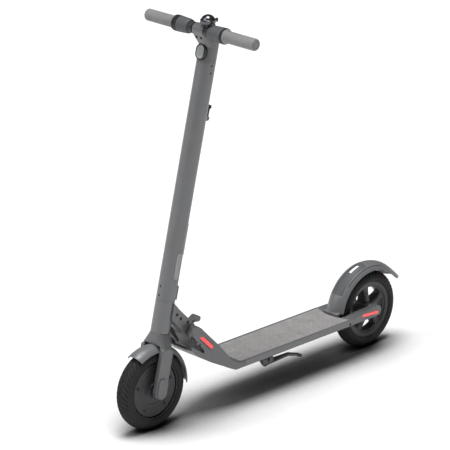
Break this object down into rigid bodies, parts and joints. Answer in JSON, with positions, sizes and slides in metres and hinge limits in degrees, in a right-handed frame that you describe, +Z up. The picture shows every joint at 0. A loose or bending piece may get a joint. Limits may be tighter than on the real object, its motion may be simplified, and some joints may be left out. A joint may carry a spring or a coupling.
{
  "type": "electric kick scooter",
  "caption": "Folding electric kick scooter: low deck, raked battery stem, hub-motor front wheel, fender foot brake, spoked rear wheel and a hook that latches the folded stem.",
  "frame": {"origin": "on the ground, under the centre of the overall box", "axes": "+X towards the front wheel, +Y towards the rider's left, +Z up; the wheels turn about Y"},
  "size_m": [1.0947, 0.412, 1.1284],
  "materials": {
    "body_grey": "satin",
    "deck_grey": "satin",
    "mat_rubber": "matte, fine raised pattern",
    "black_plastic": "matte",
    "grey_plastic": "satin",
    "panel_plastic": "matte",
    "steel": "brushed",
    "black_steel": "satin",
    "tyre_rubber": "matte",
    "rim_grey": "satin",
    "reflector_red": "gloss",
    "grip_rubber": "matte",
    "lamp_lens": "clear",
    "chrome": "polished",
    "display_glass": "gloss",
    "silver_cover": "satin",
    "copper": "enamelled wire",
    "battery": "shrink wrap",
    "pad_rubber": "matte",
    "stand_metal": "satin",
    "alu": "cast"
  },
  "bodies": {
    "deck": {"deck_shell": "deck_grey", "deck_mat": "mat_rubber", "bottom_cover": "black_plastic", "deck_screws": "black_steel", "controller": "alu", "neck": "body_grey", "reflectors": "reflector_red", "fold_pin": "steel", "rear_arm_left": "deck_grey", "rear_arm_right": "deck_grey", "rear_axle": "steel", "fender_pin": "steel", "kickstand_bracket": "stand_metal", "kickstand_pin": "steel"},
    "rear_wheel": {"rear_rim": "rim_grey", "rear_tyre": "tyre_rubber", "rear_bearings": "steel"},
    "foot_brake": {"rear_fender": "grey_plastic", "fender_panel": "panel_plastic", "brake_pad": "pad_rubber", "tail_light": "reflector_red"},
    "kickstand": {"kickstand_leg": "stand_metal"},
    "fold_head": {"fold_arm": "body_grey", "head_tube": "body_grey", "headset_bearings": "steel", "arm_bolts": "black_steel", "pedal_pin": "steel", "cable_guard": "black_plastic"},
    "release_pedal": {"fold_pedal": "body_grey"},
    "lock": {"lock_bolt": "steel"},
    "steering": {"stem_tube": "body_grey", "steering_column": "steel", "fork": "body_grey", "front_fender": "grey_plastic", "axle_caps": "grey_plastic", "front_axle": "steel", "motor_stator": "copper", "battery_pack": "battery", "stem_head": "body_grey", "handlebar": "body_grey", "grip_left": "grip_rubber", "grip_right": "grip_rubber", "throttle_housing": "black_plastic", "brake_housing": "black_plastic", "display": "display_glass", "headlight_bezel": "black_plastic", "headlight_lens": "lamp_lens", "bell_base": "chrome", "stem_screws": "black_steel", "stem_plates": "grey_plastic"},
    "throttle": {"throttle_paddle": "black_plastic"},
    "brake": {"brake_paddle": "black_plastic"},
    "bell": {"bell_lever": "black_plastic"},
    "button": {"power_button": "grey_plastic"},
    "hook": {"stem_hook": "black_steel"},
    "port_cover": {"charge_cover": "silver_cover"},
    "front_wheel": {"front_tyre": "tyre_rubber", "motor_shell": "rim_grey", "motor_magnets": "steel", "front_bearings": "steel"}
  },
  "joints": [
    {"name": "fold_hinge", "type": "hinge", "parent": "deck", "child": "fold_head", "pos_m": [0.3, 0, 0.215], "axis": [0, -1, 0], "range_deg": [0, 79]},
    {"name": "steering_turn", "type": "hinge", "parent": "fold_head", "child": "steering", "pos_m": [0.433, 0, 0.1143], "axis": [-0.2363, 0, 0.9717], "range_deg": [-45, 45]},
    {"name": "front_wheel_spin", "type": "hinge", "parent": "steering", "child": "front_wheel", "pos_m": [0.433, 0, 0.1143], "axis": [0, 1, 0], "continuous": true},
    {"name": "rear_wheel_spin", "type": "hinge", "parent": "deck", "child": "rear_wheel", "pos_m": [-0.412, 0, 0.1143], "axis": [0, 1, 0], "continuous": true},
    {"name": "foot_brake_press", "type": "hinge", "parent": "deck", "child": "foot_brake", "pos_m": [-0.279, 0, 0.119], "axis": [0, -1, 0], "range_deg": [0, 2.1], "stiffness_Nm_per_rad": 30, "springref_deg": -1.72},
    {"name": "kickstand_swing", "type": "hinge", "parent": "deck", "child": "kickstand", "pos_m": [0.045, 0.052, 0.09], "axis": [0.056, -0.6451, -0.7621], "range_deg": [0, 72]},
    {"name": "pedal_press", "type": "hinge", "parent": "fold_head", "child": "release_pedal", "pos_m": [0.30343, 0, 0.25774], "axis": [0, -1, 0], "range_deg": [0, 12], "stiffness_Nm_per_rad": 3, "springref_deg": -5.73},
    {"name": "lock_slide", "type": "slide", "parent": "fold_head", "child": "lock", "axis": [0.52, 0, 0.8542], "range_m": [0, 0.005]},
    {"name": "throttle_press", "type": "hinge", "parent": "steering", "child": "throttle", "pos_m": [0.22169, -0.078, 1.08002], "axis": [0, -1, 0], "range_deg": [0, 22], "stiffness_Nm_per_rad": 0.3, "springref_deg": -11.46},
    {"name": "brake_press", "type": "hinge", "parent": "steering", "child": "brake", "pos_m": [0.22169, 0.078, 1.08002], "axis": [0, -1, 0], "range_deg": [0, 22], "stiffness_Nm_per_rad": 0.3, "springref_deg": -11.46},
    {"name": "bell_strike", "type": "hinge", "parent": "steering", "child": "bell", "pos_m": [0.24, 0.028, 1.103], "axis": [0, 0, 1], "range_deg": [0, 20], "stiffness_Nm_per_rad": 0.1, "springref_deg": -5.73},
    {"name": "button_press", "type": "slide", "parent": "steering", "child": "button", "axis": [0.2363, 0, -0.9717], "range_m": [0, 0.0015], "stiffness_N_per_m": 400, "springref_m": -0.001},
    {"name": "hook_swing", "type": "hinge", "parent": "steering", "child": "hook", "pos_m": [0.22124, 0, 0.8326], "axis": [0, -1, 0], "range_deg": [0, 25]},
    {"name": "port_cover_swing", "type": "hinge", "parent": "steering", "child": "port_cover", "pos_m": [0.34437, 0.0257, 0.4478], "axis": [-0.2363, 0, 0.9717], "range_deg": [0, 100]}
  ],
  "couplings": [
    {"joint": "lock_slide", "follows": "pedal_press", "m_per_rad": 0.02387}
  ]
}
